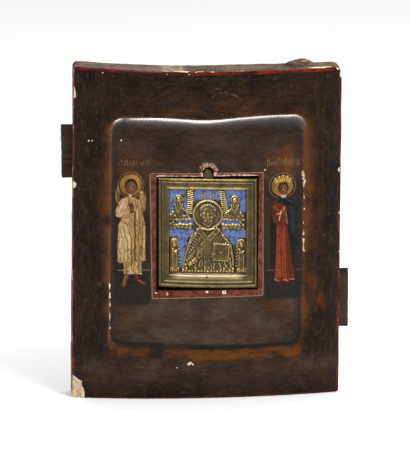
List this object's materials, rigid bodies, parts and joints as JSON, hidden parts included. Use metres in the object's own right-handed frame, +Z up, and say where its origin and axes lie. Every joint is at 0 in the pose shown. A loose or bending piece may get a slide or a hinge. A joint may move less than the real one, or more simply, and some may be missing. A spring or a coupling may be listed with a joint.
{
  "type": "religious icon",
  "caption": "Cupped wooden icon panel with a sunk painted field, flanking painted saints, dovetail battens and an inset cast brass plaque with blue enamel.",
  "frame": {"origin": "middle of the underside of the whole object's box, on the surface it stands on", "axes": "+Z up, the painted front faces -Y, +X to the viewer's right"},
  "size_m": [0.2676, 0.036, 0.3172],
  "materials": {
    "painted_panel": "dark paint under aged varnish, worn and chipped",
    "batten_wood": "bare, dark with age",
    "cast_brass": "dull olive patina, bright on the high points, blue enamel in the ground"
  },
  "bodies": {
    "root": {"panel": "painted_panel", "upper_batten": "batten_wood", "lower_batten": "batten_wood", "plaque": "cast_brass"}
  },
  "joints": []
}
